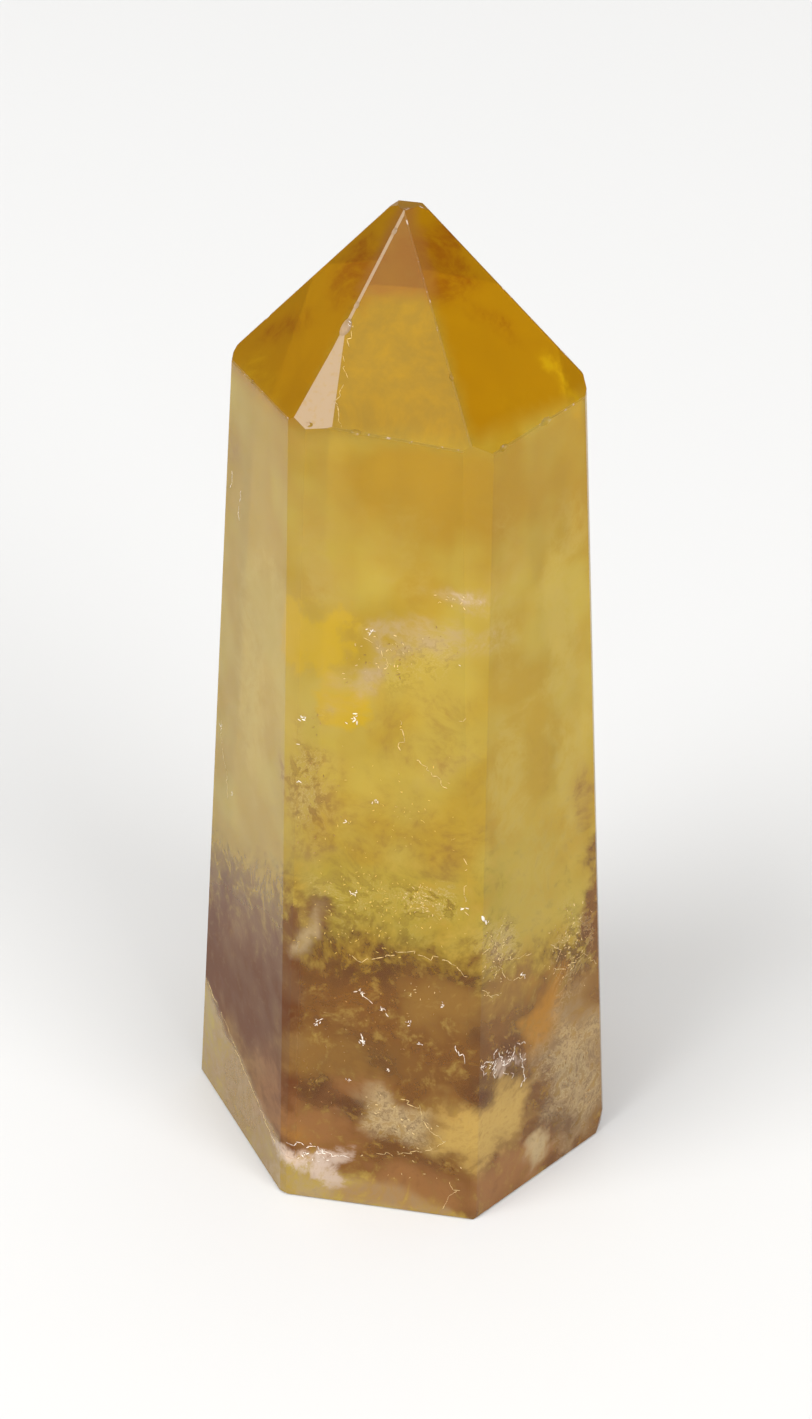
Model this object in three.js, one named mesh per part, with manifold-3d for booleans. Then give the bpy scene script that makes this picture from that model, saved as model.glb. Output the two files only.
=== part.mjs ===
// Fluorite point: a tapering six-sided tower with a six-sided pyramid on top,
// ground and polished out of one piece of yellow fluorite.
//
// Millimetres, Z up. The polished base stands on Z = 0, centred on the origin.
// Azimuths are in degrees round the Z axis: 0 looks out along -Y and +90 along +X.
//
// The solid is made the way the real one is: a rough block is ground flat by flat.
// Every flat is one half-space cut, so the faces stay truly flat and the edges are
// where two flats meet. The small breaks along the edges are scooped out last.

import * as THREE from 'three';
import { mergeVertices } from 'three/addons/utils/BufferGeometryUtils.js';
import Module from 'manifold-3d';

// ---------------------------------------------------------------- driving sizes

const HEIGHT = 80;          // base to the blunt tip
const SHOULDER = 67;        // about where the tower turns into the pyramid
const BLOCK = 60;           // side of the rough block, wide enough for every flat

// The six long faces. reach: distance from the axis at the base. lean: how far the
// face tips towards the axis on its way up.
const TOWER = {
  left: { azimuth: -65.0, reach: 14.7, lean: 2.8 },
  front: { azimuth: -11.3, reach: 15.0, lean: 3.6 },
  right: { azimuth: 46.4, reach: 15.3, lean: 2.9 },
  backRight: { azimuth: 106.5, reach: 14.55, lean: 2.8 },
  back: { azimuth: 168.7, reach: 15.0, lean: 3.2 },
  backLeft: { azimuth: -131.0, reach: 15.15, lean: 3.55 },
};

// The six pyramid faces. slope: steepness from the level. peak: the height at which
// the face would cross the axis. No two peaks agree, as the faces are cut by hand.
const PYRAMID = {
  left: { azimuth: -64.8, slope: 50.5, peak: 81.1 },
  front: { azimuth: -7.8, slope: 53.7, peak: 81.6 },
  right: { azimuth: 41.5, slope: 50.2, peak: 80.6 },
  backRight: { azimuth: 111.9, slope: 50.5, peak: 81.1 },
  back: { azimuth: 168.7, slope: 50.7, peak: 81.2 },
  backLeft: { azimuth: -131.4, slope: 50.7, peak: 81.5 },
};

// The long edges are softened by narrow flats, wider at the shoulder than below.
const EDGE_FLATS = [
  { sides: ['left', 'front'], top: 1.6, bottom: 0.6 },
  { sides: ['front', 'right'], top: 2.3, bottom: 0.5 },
  { sides: ['right', 'backRight'], top: 0.6, bottom: 0.4 },
  { sides: ['backRight', 'back'], top: 1.1, bottom: 0.6 },
  { sides: ['back', 'backLeft'], top: 1.5, bottom: 0.6 },
  { sides: ['backLeft', 'left'], top: 0.6, bottom: 0.3 },
];

// Wear has laid a hair-thin flat on every other edge too. Widths in millimetres.
const SHOULDER_WEAR = 0.17;
const BASE_WEAR = 0.14;
const RIDGE_FLATS = [
  { sides: ['left', 'front'], width: 0.26 },
  { sides: ['front', 'right'], width: 0.12 },
  { sides: ['right', 'backRight'], width: 0.12 },
  { sides: ['backRight', 'back'], width: 0.14 },
  { sides: ['back', 'backLeft'], width: 0.2 },
  { sides: ['backLeft', 'left'], width: 0.12 },
];

// Where a thin flake came off beside the front left ridge: a long narrow triangle
// that starts at 73 mm and widens down to the shoulder.
const FLAKE = { azimuth: -16.9, slope: 53.7, peak: 82.3 };

// The tip is blunt: a level spot with a few small flats falling away from it.
const TIP_FLATS = [
  { azimuth: 165, slope: 25, peak: 80.28 },
  { azimuth: 80, slope: 30, peak: 80.3 },
  { azimuth: -95, slope: 28, peak: 80.5 },
];

// Corners of the base that are knocked off: the corner between two long faces, the
// steepness of the little flat and how far it eats into the corner.
const BASE_CORNERS = [
  { sides: ['right', 'backRight'], slope: 82, bite: 0.5 },
  { sides: ['left', 'front'], slope: 40, bite: 0.35 },
  { sides: ['back', 'backLeft'], slope: 60, bite: 0.45 },
];

// Small shell-shaped breaks. Each sits on the edge of two faces at a height, is as
// long as given along the edge and as deep as given.
const RIDGE_BREAKS = [
  { sides: ['left', 'front'], height: 73.1, length: 1.5, depth: 0.42 },
  { sides: ['left', 'front'], height: 74.4, length: 0.7, depth: 0.2 },
  { sides: ['left', 'front'], height: 78.8, length: 0.7, depth: 0.24 },
  { sides: ['front', 'right'], height: 70.6, length: 0.6, depth: 0.14 },
  { sides: ['back', 'backLeft'], height: 71.9, length: 1.3, depth: 0.34 },
  { sides: ['back', 'backLeft'], height: 76.2, length: 0.6, depth: 0.2 },
  { sides: ['backRight', 'back'], height: 69.8, length: 0.8, depth: 0.22 },
  { sides: ['backLeft', 'left'], height: 70.5, length: 0.7, depth: 0.2 },
];

// Breaks on the shoulder line of one side: across is the distance sideways from the
// middle of that side, positive to the right as seen from outside.
const SHOULDER_BREAKS = [
  { side: 'left', across: -2.6, length: 0.5, depth: 0.2 },
  { side: 'left', across: 5.4, length: 0.6, depth: 0.2 },
  { side: 'front', across: -5.2, length: 1.1, depth: 0.3 },
  { side: 'front', across: -1.7, length: 0.8, depth: 0.14 },
  { side: 'front', across: 7.0, length: 0.6, depth: 0.22 },
  { side: 'right', across: -2.9, length: 0.9, depth: 0.18 },
  { side: 'right', across: 1.6, length: 1.2, depth: 0.16 },
  { side: 'backRight', across: 2.1, length: 0.8, depth: 0.2 },
  { side: 'back', across: -3.4, length: 1.2, depth: 0.26 },
  { side: 'back', across: 4.6, length: 0.6, depth: 0.18 },
  { side: 'backLeft', across: 0.8, length: 0.9, depth: 0.2 },
];

// ---------------------------------------------------------------- flats

const UP = new THREE.Vector3(0, 0, 1);

function outward(azimuth) {
  const turn = THREE.MathUtils.degToRad(azimuth);
  return new THREE.Vector3(Math.sin(turn), -Math.cos(turn), 0);
}

// A flat is a plane whose normal points out of the stone. tip is the angle by which
// the normal looks up; through is any point of the flat.
function flatThrough(azimuth, tip, through) {
  const angle = THREE.MathUtils.degToRad(tip);
  const normal = outward(azimuth).multiplyScalar(Math.cos(angle));
  normal.z = Math.sin(angle);
  return new THREE.Plane().setFromNormalAndCoplanarPoint(normal, through);
}

function towerFlat({ azimuth, reach, lean }) {
  const foot = outward(azimuth).multiplyScalar(reach);
  return flatThrough(azimuth, lean, foot);
}

function pyramidFlat({ azimuth, slope, peak }) {
  const crossing = new THREE.Vector3(0, 0, peak);
  return flatThrough(azimuth, 90 - slope, crossing);
}

// The point where three planes meet.
function meetingPoint(a, b, c) {
  const bc = new THREE.Vector3().crossVectors(b.normal, c.normal);
  const ca = new THREE.Vector3().crossVectors(c.normal, a.normal);
  const ab = new THREE.Vector3().crossVectors(a.normal, b.normal);
  const volume = a.normal.dot(bc);
  const sum = bc.multiplyScalar(-a.constant);
  sum.addScaledVector(ca, -b.constant);
  sum.addScaledVector(ab, -c.constant);
  return sum.divideScalar(volume);
}

function level(height) {
  return new THREE.Plane(UP.clone(), -height);
}

function edgePoint(a, b, height) {
  return meetingPoint(a, b, level(height));
}

// How far a flat of that width cuts in from the sharp edge of two faces.
function cutDepth(a, b, width) {
  const half = a.normal.angleTo(b.normal) / 2;
  return (width / 2) * Math.tan(half);
}

function between(a, b) {
  return new THREE.Vector3().addVectors(a.normal, b.normal).normalize();
}

// A flat of one width all along the edge of two faces, square to the line that
// halves them.
function wornFlat(a, b, width) {
  const out = between(a, b);
  const along = new THREE.Vector3().crossVectors(a.normal, b.normal).normalize();
  const middle = meetingPoint(a, b, new THREE.Plane(along, 0));
  middle.addScaledVector(out, -cutDepth(a, b, width));
  return new THREE.Plane().setFromNormalAndCoplanarPoint(out, middle);
}

// A flat along a tower edge that is one width at the base and another at the shoulder.
function taperingFlat(a, b, bottom, top) {
  const out = between(a, b);
  const low = edgePoint(a, b, 0);
  const high = edgePoint(a, b, SHOULDER);
  low.addScaledVector(out, -cutDepth(a, b, bottom));
  high.addScaledVector(out, -cutDepth(a, b, top));
  const along = new THREE.Vector3().subVectors(high, low);
  const sideways = new THREE.Vector3().crossVectors(out, along);
  const normal = new THREE.Vector3().crossVectors(along, sideways).normalize();
  return new THREE.Plane().setFromNormalAndCoplanarPoint(normal, low);
}

function cornerFlat(a, b, slope, bite) {
  const corner = edgePoint(a, b, 0);
  const out = new THREE.Vector3(corner.x, corner.y, 0).normalize();
  corner.addScaledVector(out, -bite);
  const azimuth = THREE.MathUtils.radToDeg(Math.atan2(out.x, -out.y));
  return flatThrough(azimuth, slope - 90, corner);
}

// ---------------------------------------------------------------- cutting

const wasm = await Module();
wasm.setup();

function toSolid(geometry) {
  const bare = geometry.clone();
  bare.deleteAttribute('normal');
  bare.deleteAttribute('uv');
  const joined = mergeVertices(bare, 1e-5);
  const mesh = new wasm.Mesh({
    numProp: 3,
    vertProperties: new Float32Array(joined.attributes.position.array),
    triVerts: new Uint32Array(joined.index.array),
  });
  return new wasm.Manifold(mesh);
}

function toGeometry(solid) {
  const mesh = solid.getMesh();
  const geometry = new THREE.BufferGeometry();
  const places = new THREE.BufferAttribute(new Float32Array(mesh.vertProperties), 3);
  geometry.setAttribute('position', places);
  geometry.setIndex(new THREE.BufferAttribute(new Uint32Array(mesh.triVerts), 1));
  return geometry;
}

// Grinding: a block as big as a house for the stone lies on the outside of the flat.
function grind(stone, flat) {
  const lap = new THREE.BoxGeometry(4 * HEIGHT, 4 * HEIGHT, 2 * HEIGHT);
  lap.translate(0, 0, HEIGHT);
  const turn = new THREE.Quaternion().setFromUnitVectors(UP, flat.normal);
  lap.applyQuaternion(turn);
  const centre = flat.projectPoint(new THREE.Vector3(0, 0, HEIGHT / 2), new THREE.Vector3());
  lap.translate(centre.x, centre.y, centre.z);
  return stone.subtract(toSolid(lap));
}

// A break is a shallow dish: a flattened ball that dips into the edge from outside.
function scoop(stone, place, out, along, length, depth, twist) {
  const ball = new THREE.IcosahedronGeometry(1, 2);
  ball.rotateZ(twist);
  ball.scale(length / 2, length * 0.34, depth * 1.5);
  const sideways = new THREE.Vector3().crossVectors(out, along).normalize();
  const frame = new THREE.Matrix4().makeBasis(along, sideways, out);
  ball.applyMatrix4(frame);
  const centre = place.clone().addScaledVector(out, depth * 0.5);
  ball.translate(centre.x, centre.y, centre.z);
  return stone.subtract(toSolid(ball));
}

// ---------------------------------------------------------------- the stone

const base = new THREE.Plane(UP.clone().negate(), 0);
const tower = {};
const pyramid = {};
for (const side of Object.keys(TOWER)) {
  tower[side] = towerFlat(TOWER[side]);
  pyramid[side] = pyramidFlat(PYRAMID[side]);
}

function roughBlock() {
  const block = new THREE.BoxGeometry(BLOCK, BLOCK, HEIGHT);
  block.translate(0, 0, HEIGHT / 2);
  return toSolid(block);
}

function grindFaces(stone) {
  let ground = stone;
  for (const side of Object.keys(tower)) {
    ground = grind(ground, tower[side]);
    ground = grind(ground, pyramid[side]);
  }
  return ground;
}

function softenEdges(stone) {
  let soft = stone;
  for (const { sides: [a, b], top, bottom } of EDGE_FLATS) {
    soft = grind(soft, taperingFlat(tower[a], tower[b], bottom, top));
  }
  for (const { sides: [a, b], width } of RIDGE_FLATS) {
    soft = grind(soft, wornFlat(pyramid[a], pyramid[b], width));
  }
  for (const side of Object.keys(tower)) {
    soft = grind(soft, wornFlat(tower[side], pyramid[side], SHOULDER_WEAR));
    soft = grind(soft, wornFlat(tower[side], base, BASE_WEAR));
  }
  return soft;
}

function knockOffCorners(stone) {
  let chipped = grind(stone, pyramidFlat(FLAKE));
  for (const flat of TIP_FLATS) {
    chipped = grind(chipped, pyramidFlat(flat));
  }
  for (const { sides: [a, b], slope, bite } of BASE_CORNERS) {
    chipped = grind(chipped, cornerFlat(tower[a], tower[b], slope, bite));
  }
  return chipped;
}

function breakRidges(stone) {
  let broken = stone;
  RIDGE_BREAKS.forEach(({ sides: [a, b], height, length, depth }, i) => {
    const place = edgePoint(pyramid[a], pyramid[b], height);
    const out = between(pyramid[a], pyramid[b]);
    const along = new THREE.Vector3().crossVectors(pyramid[a].normal, pyramid[b].normal);
    broken = scoop(broken, place, out, along.normalize(), length, depth, i);
  });
  return broken;
}

function breakShoulder(stone) {
  let broken = stone;
  SHOULDER_BREAKS.forEach(({ side, across, length, depth }, i) => {
    const out = between(tower[side], pyramid[side]);
    const along = new THREE.Vector3().crossVectors(tower[side].normal, pyramid[side].normal);
    const right = new THREE.Vector3().crossVectors(UP, outward(TOWER[side].azimuth));
    const cut = new THREE.Plane(right, -across);
    const place = meetingPoint(tower[side], pyramid[side], cut);
    broken = scoop(broken, place, out, along.normalize(), length, depth, i + 0.5);
  });
  return broken;
}

// The flats do not share one centre, so the finished stone is slid until the middle
// of its footprint box is on the origin.
function standOnOrigin(geometry) {
  geometry.computeBoundingBox();
  const box = geometry.boundingBox;
  geometry.translate(-(box.min.x + box.max.x) / 2, -(box.min.y + box.max.y) / 2, -box.min.z);
  return geometry;
}

const faced = softenEdges(grindFaces(roughBlock()));
const stone = breakShoulder(breakRidges(knockOffCorners(faced)));
const shape = standOnOrigin(toGeometry(stone));
shape.computeVertexNormals();

const fluorite = new THREE.MeshStandardMaterial({
  color: 0xc89b32,
  roughness: 0.08,
  metalness: 0,
  flatShading: true,
});

const point = new THREE.Mesh(shape, fluorite);
point.name = 'fluorite_point';

const group = new THREE.Group();
group.name = 'fluorite_point_group';
group.add(point);

export default group;
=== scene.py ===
# %% [markdown]
# # A polished fluorite point
#
# This lesson dresses one stone: a standing point cut out of yellow fluorite, with six
# long faces, a six-sided pyramid on top and a cloudy brown foot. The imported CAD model
# gives the exact flats. Everything that makes it look like fluorite is added here: the
# polish, the worn edges, the clouds of colour, the veils and fractures inside, and the
# bright flecks and fine cracks in the skin.
#
# Blender works in metres and a stone cutter in millimetres, so sizes are written as a
# number times MM. Blender's noise starts from the clock unless it is given a seed. It
# gets one, because the stone has to come out the same every time.

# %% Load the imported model
import math
import random

import bpy
import numpy as np
from mathutils import Matrix, Vector, noise


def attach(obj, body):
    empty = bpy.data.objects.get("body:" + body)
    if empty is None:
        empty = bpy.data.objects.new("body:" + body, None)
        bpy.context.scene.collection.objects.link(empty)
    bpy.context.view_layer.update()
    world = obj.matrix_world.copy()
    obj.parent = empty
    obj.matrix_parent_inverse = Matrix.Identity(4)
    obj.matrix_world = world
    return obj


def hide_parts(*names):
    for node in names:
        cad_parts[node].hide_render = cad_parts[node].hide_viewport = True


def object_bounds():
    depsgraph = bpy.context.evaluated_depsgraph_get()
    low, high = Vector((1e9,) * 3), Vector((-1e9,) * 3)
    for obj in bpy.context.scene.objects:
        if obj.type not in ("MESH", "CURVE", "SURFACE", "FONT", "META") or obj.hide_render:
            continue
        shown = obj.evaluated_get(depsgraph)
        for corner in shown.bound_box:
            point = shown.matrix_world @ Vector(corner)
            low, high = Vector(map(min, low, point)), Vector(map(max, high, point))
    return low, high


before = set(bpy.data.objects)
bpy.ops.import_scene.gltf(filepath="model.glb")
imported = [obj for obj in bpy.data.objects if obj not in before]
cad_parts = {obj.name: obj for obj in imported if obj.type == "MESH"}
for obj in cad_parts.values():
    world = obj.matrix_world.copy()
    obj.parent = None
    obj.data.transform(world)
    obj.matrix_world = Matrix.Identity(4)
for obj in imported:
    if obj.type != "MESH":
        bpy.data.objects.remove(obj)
cad_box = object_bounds()
scene = bpy.context.scene
MM = 0.001
BODY = "root"
NODE = "fluorite_point"
NOISE_SEED = 1
noise.seed_set(NOISE_SEED)
print("CAD box in mm:", [[round(v / MM, 2) for v in corner] for corner in cad_box])

# %% [markdown]
# The camera stands a quarter of a metre away and looks down on the stone at about
# thirty degrees, the way a stone on a table is looked at. A long lens keeps the long
# edges nearly parallel. The camera comes first, so that every later step can be
# rendered from the place it is made for.

# %% Camera
CAMERA_AT = Vector((0.38, -200.21, 160.72)) * MM
CAMERA_PITCH = math.radians(31.51)
CAMERA_ROLL = math.radians(0.33)
LENS = 76.1
FILM_WIDTH = 36


def new_object(name, data):
    made = bpy.data.objects.new(name, data)
    scene.collection.objects.link(made)
    return made


camera_data = bpy.data.cameras.new("camera")
camera_data.lens = LENS
camera_data.sensor_width = FILM_WIDTH
camera = new_object("camera", camera_data)
look = Matrix.Rotation(math.pi / 2 - CAMERA_PITCH, 4, "X")
camera.matrix_world = Matrix.Translation(CAMERA_AT) @ look @ Matrix.Rotation(CAMERA_ROLL, 4, "Z")
scene.camera = camera
print("the camera is", round(CAMERA_AT.length / MM), "mm from the stone's base")

# %% [markdown]
# The room and every material are built from small nodes, and a tree of nodes made in
# code gets long. These helpers take up what repeats, so that a material reads like a
# recipe. A node can be fed with a number, a colour or the output of another node.

# %% Node helpers
# The sockets of a Mix node that mixes colours: it also has some for numbers and vectors.
MIX_SHARE, MIX_UNDER, MIX_OVER, MIX_RESULT = 0, 6, 7, 2


def new_material(name):
    material = bpy.data.materials.new(name)
    material.use_nodes = True
    return material, material.node_tree, material.node_tree.nodes["Principled BSDF"]


def add_node(tree, kind, **switches):
    made = tree.nodes.new("ShaderNode" + kind)
    for name, value in switches.items():
        setattr(made, name, value)
    return made


def feed(node, inputs):
    """Sets or links inputs of a node, and gives the node back."""
    for name, value in inputs.items():
        socket = node.inputs[name]
        if isinstance(value, bpy.types.NodeSocket):
            node.id_data.links.new(value, socket)
        elif isinstance(value, tuple) and socket.type == "RGBA":
            socket.default_value = (*value[:3], 1)
        else:
            socket.default_value = value
    return node


def maths(tree, operation, *values):
    return feed(add_node(tree, "Math", operation=operation), dict(enumerate(values))).outputs[0]


def mix(tree, share, under, over):
    inputs = {MIX_SHARE: share, MIX_UNDER: under, MIX_OVER: over}
    return feed(add_node(tree, "Mix", data_type="RGBA"), inputs).outputs[MIX_RESULT]


def band(tree, value, start, end, low=0, high=1):
    """One number below start, another above end, and a smooth step between."""
    inputs = {"Value": value, "From Min": start, "From Max": end, "To Min": low, "To Max": high}
    return feed(add_node(tree, "MapRange", interpolation_type="SMOOTHSTEP"), inputs).outputs["Result"]


# %% [markdown]
# The stone stands on a plain pale floor. A glassy stone mirrors and bends whatever is
# around it, so a floor that ends nearby would show in its faces: this one is a wide
# disc. It lies a hair below the base, because two surfaces in exactly the same place
# fight each other in a render.

# %% Floor
FLOOR_RADIUS = 3.0
FLOOR_GAP = 0.05 * MM
FLOOR_COLOUR = (0.68, 0.677, 0.67, 1)
FLOOR_ROUGHNESS = 0.7


def select_none():
    bpy.ops.object.select_all(action="DESELECT")


select_none()
bpy.ops.mesh.primitive_circle_add(
    vertices=96, radius=FLOOR_RADIUS, fill_type="NGON", location=(0, 0, -FLOOR_GAP))
floor = bpy.context.object
floor.name = "floor"
bpy.ops.object.transform_apply(location=True)

floor_paint, _, floor_shader = new_material("pale_floor")
feed(floor_shader, {"Base Color": FLOOR_COLOUR, "Roughness": FLOOR_ROUGHNESS})
floor.data.materials.append(floor_paint)
print("the floor is", 2 * FLOOR_RADIUS, "m across")

# %% [markdown]
# The room is a soft studio. What a polished face mirrors decides how hazy it looks:
# the two side faces of the pyramid mirror the dim side walls and keep their deep
# amber, and the front face mirrors the bright front of the room and looks milky. So
# the world is pale at the horizon, bright in front and overhead, and dim at the sides
# between the two. A ramp along one direction makes each zone, and the brightest of
# the three ramps wins.

# %% Walls and ceiling of the room
HORIZON_GLOW = 1.0
FRONT_GLOW = 1.1
CEILING_GLOW = 1.5
SIDE_GLOW = 0.15

world = bpy.data.worlds.new("studio")
scene.world = world
world.use_nodes = True
sky = world.node_tree
looking = add_node(sky, "TexCoord").outputs["Generated"]
_, away, up = feed(add_node(sky, "SeparateXYZ"), {0: looking}).outputs
horizon = band(sky, up, 0.14, 0.22, HORIZON_GLOW, SIDE_GLOW)
front = band(sky, away, -0.55, -0.25, FRONT_GLOW, SIDE_GLOW)
ceiling = band(sky, up, 0.7, 0.95, SIDE_GLOW, CEILING_GLOW)
brightest = maths(sky, "MAXIMUM", maths(sky, "MAXIMUM", horizon, front), ceiling)
feed(sky.nodes["Background"], {"Color": brightest})
print("the room is made of", len(sky.nodes), "nodes")

# %% [markdown]
# Two soft boxes stand in for lamps behind cloth. The one on the left lights the worn
# ridge and the one on the right fills the shadow side. A lamp close to the stone would
# leave a bright pool on the floor, so both are far away, and they are large, so that
# the shadow has a soft rim.

# %% Soft boxes
LIGHT_DISTANCE = 2.5


def direction(azimuth, tip):
    """A unit vector: azimuth 0 is towards -Y and 90 towards +X, tip is above the level."""
    turn, rise = math.radians(azimuth), math.radians(tip)
    return Vector((math.sin(turn) * math.cos(rise), -math.cos(turn) * math.cos(rise), math.sin(rise)))


def add_soft_box(name, azimuth, tip, size, power):
    data = bpy.data.lights.new(name, "AREA")
    data.shape = "DISK"
    data.size = size
    data.energy = power
    light = new_object(name, data)
    light.location = direction(azimuth, tip) * LIGHT_DISTANCE
    light.rotation_euler = direction(azimuth, tip).to_track_quat("Z", "Y").to_euler()
    print(name, "gives", power, "watts")


add_soft_box("main_soft_box", azimuth=-54, tip=46, size=1.7, power=40.6)
add_soft_box("fill_soft_box", azimuth=40, tip=28, size=1.6, power=37.5)

# %% [markdown]
# Light passes many walls on its way through the stone. Each wall is one bounce, and a
# path that runs out of bounces turns black, so a few are needed. Past the numbers given
# here the render hardly changes any more. The plain view transform keeps the yellow as
# saturated as it is.

# %% Light paths
scene.view_settings.view_transform = "Standard"
scene.cycles.max_bounces = 8
scene.cycles.diffuse_bounces = 2
scene.cycles.glossy_bounces = 3
scene.cycles.transmission_bounces = 6
scene.cycles.transparent_max_bounces = 10
scene.cycles.sample_clamp_indirect = 4
print("light may bounce", scene.cycles.max_bounces, "times")

# %% [markdown]
# The shape of the stone is already right in the CAD node. A node of the frame may not
# be changed, so a copy of it is worked on. Its triangles are merged at their corners,
# and triangles that lie in one flat are dissolved into one many-sided face, which
# makes the flats easy to find.

# %% A copy of the stone to work on
SAME_CORNER = 0.0005 * MM
SAME_FLAT = math.radians(0.25)

stone = new_object("polished_stone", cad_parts[NODE].data.copy())
stone.data.materials.clear()


def edit(piece):
    select_none()
    bpy.context.view_layer.objects.active = piece
    piece.select_set(True)
    bpy.ops.object.mode_set(mode="EDIT")
    bpy.ops.mesh.select_all(action="SELECT")


def leave_edit():
    bpy.ops.object.mode_set(mode="OBJECT")


edit(stone)
bpy.ops.mesh.remove_doubles(threshold=SAME_CORNER)
bpy.ops.mesh.dissolve_limited(angle_limit=SAME_FLAT)
leave_edit()
bpy.ops.mesh.customdata_custom_splitnormals_clear()
bpy.ops.object.shade_flat()
print("the stone has", len(stone.data.polygons), "faces after merging")

# %% [markdown]
# The stone's large flat faces are its walls. Later steps need their planes: to tell
# polish from wear, to lay colour on a flat, and to keep what is inside from poking out.
# Typing the planes in by hand would break as soon as the CAD model changes, so they are
# looked up. A face that is large and not hair-thin is a wall, and a wall that is cut
# into several faces counts once.

# %% Find the walls
WALL_AREA = 8 * MM * MM
WALL_WIDTH = 0.4 * MM
SAME_TURN = math.radians(0.3)
SAME_REACH = 0.01 * MM


def width_of(poly):
    corners = stone.data.vertices
    longest = max((corners[a].co - corners[b].co).length for a, b in poly.edge_keys)
    return poly.area / longest


def wall_under(poly):
    for wall in walls:
        if wall["normal"].angle(poly.normal) < SAME_TURN:
            if abs(wall["reach"] - poly.normal.dot(poly.center)) < SAME_REACH:
                return wall
    return None


walls = []
for poly in sorted(stone.data.polygons, key=lambda p: -p.area):
    if poly.area > WALL_AREA and width_of(poly) > WALL_WIDTH and wall_under(poly) is None:
        walls.append({"normal": poly.normal.copy(), "reach": poly.normal.dot(poly.center)})
print("the stone has", len(walls), "walls")

# %% [markdown]
# A cutter names the flats by the way they look. The script does the same, and names
# each after the nearest of six directions, in degrees. The pyramid has flats that look
# the same way as those under them, so their names end in _top.

# %% Name the flats
SIDES = {"left": -65, "front": -11, "right": 46, "back_right": 106, "back": 169, "back_left": -131}
LOOKS_DOWN = -0.9
LOOKS_UP = 0.3


def azimuth_of(normal):
    return math.degrees(math.atan2(normal.x, -normal.y))


def side_of(normal):
    def away(name):
        return abs((SIDES[name] - azimuth_of(normal) + 180) % 360 - 180)
    return min(SIDES, key=away)


flats = {}
for wall in walls:
    if wall["normal"].z > LOOKS_DOWN:
        storey = "_top" if wall["normal"].z > LOOKS_UP else ""
        flats.setdefault(side_of(wall["normal"]) + storey, wall)
print("the flats are", *flats)

# %% [markdown]
# Later steps say "on the front flat, 3 mm to the right, 20 mm up". These helpers turn
# such words into points. They also tell how deep a point lies under the skin, because
# nothing inside may poke out. A stone with flat sides makes that easy: a point is
# inside if it is behind every wall.

# %% Places on a flat
def axes_of(side, turn=0):
    """Right, up and out of a flat, with right and up turned in the flat by some degrees."""
    out = flats[side]["normal"]
    level = Vector((-out.y, out.x, 0)).normalized()
    rise = out.cross(level)
    angle = math.radians(turn)
    right = level * math.cos(angle) + rise * math.sin(angle)
    up = rise * math.cos(angle) - level * math.sin(angle)
    return right, up, out


def place(side, across, height, depth=0.0):
    """A point on a flat, in metres: across and height in mm, and depth in mm under the polish."""
    wall = flats[side]
    right, _, out = axes_of(side)
    level_out = Vector((out.x, out.y, 0)).normalized()
    away = (wall["reach"] - height * MM * out.z) / math.hypot(out.x, out.y)
    return right * (across * MM) + level_out * away + Vector((0, 0, height * MM)) - out * (depth * MM)


def off_wall(wall, point):
    """How far a point lies behind one wall, in metres."""
    return wall["reach"] - wall["normal"].dot(point)


def under_skin(point):
    """How deep a point lies inside the stone, in metres. Outside it is negative."""
    return min(off_wall(wall, point) for wall in walls)


half_way_up = Vector((0, 0, cad_box[1][2] / 2))
print("half way up, the axis is", round(under_skin(half_way_up) / MM, 1), "mm under the nearest flat")

# %% [markdown]
# A cut stone wears first at its edges. The CAD stone has hair-thin flats along its
# ridges and shoulder, and small shell-shaped breaks. A face that lies in none of the
# big planes is such an edge, and it gets a second material slot. So does the base,
# which is sawn and rubbed but not polished. A third slot is for the one battered place:
# the front left ridge of the pyramid, and the long sliver where a flake came off.

# %% Sort the polished faces from the worn ones
POLISHED, RUBBED, BATTERED = 0, 1, 2
ON_WALL = 0.004 * MM
SHOULDER = 66 * MM
FLAKE_AZIMUTH = -16.9
FLAKE_LOOKS_UP = 0.4
NEAR_FRONT = 0.6 * MM
NEAR_LEFT = 0.8 * MM


def is_polished(poly):
    corners = [stone.data.vertices[i].co for i in poly.vertices]
    return any(max(abs(off_wall(wall, corner)) for corner in corners) < ON_WALL for wall in walls)


def is_battered(poly):
    if poly.normal.z > FLAKE_LOOKS_UP and abs(azimuth_of(poly.normal) - FLAKE_AZIMUTH) < 2:
        return True
    near_front = off_wall(flats["front_top"], poly.center) < NEAR_FRONT
    near_left = off_wall(flats["left_top"], poly.center) < NEAR_LEFT
    return poly.center.z > SHOULDER and near_front and near_left and not is_polished(poly)


for poly in stone.data.polygons:
    if is_battered(poly):
        poly.material_index = BATTERED
    elif poly.normal.z < LOOKS_DOWN or not is_polished(poly):
        poly.material_index = RUBBED
slots = [poly.material_index for poly in stone.data.polygons]
print(slots.count(POLISHED), "polished,", slots.count(RUBBED), "rubbed,", slots.count(BATTERED), "battered")

# %% [markdown]
# The colour of this stone changes from place to place, and colour can be stored on the
# corners of a mesh. A flat with corners only at its rim has nowhere to hold it, so the
# stone is sliced along X, Y and Z into small cells. Subdividing would need neat
# four-sided faces, and these have many sides. Slices change no shape.

# %% Slice the flats into cells
CELL = 0.7 * MM


def slice_across(axis, at):
    normal = Vector((0, 0, 0))
    normal[axis] = 1
    bpy.ops.mesh.select_all(action="SELECT")
    bpy.ops.mesh.bisect(plane_co=normal * at, plane_no=normal)


edit(stone)
low, high = cad_box
for axis in range(3):
    for step in range(1, int((high[axis] - low[axis]) / CELL)):
        slice_across(axis, low[axis] + step * CELL)
leave_edit()
print("the skin has", len(stone.data.polygons), "cells")

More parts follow.
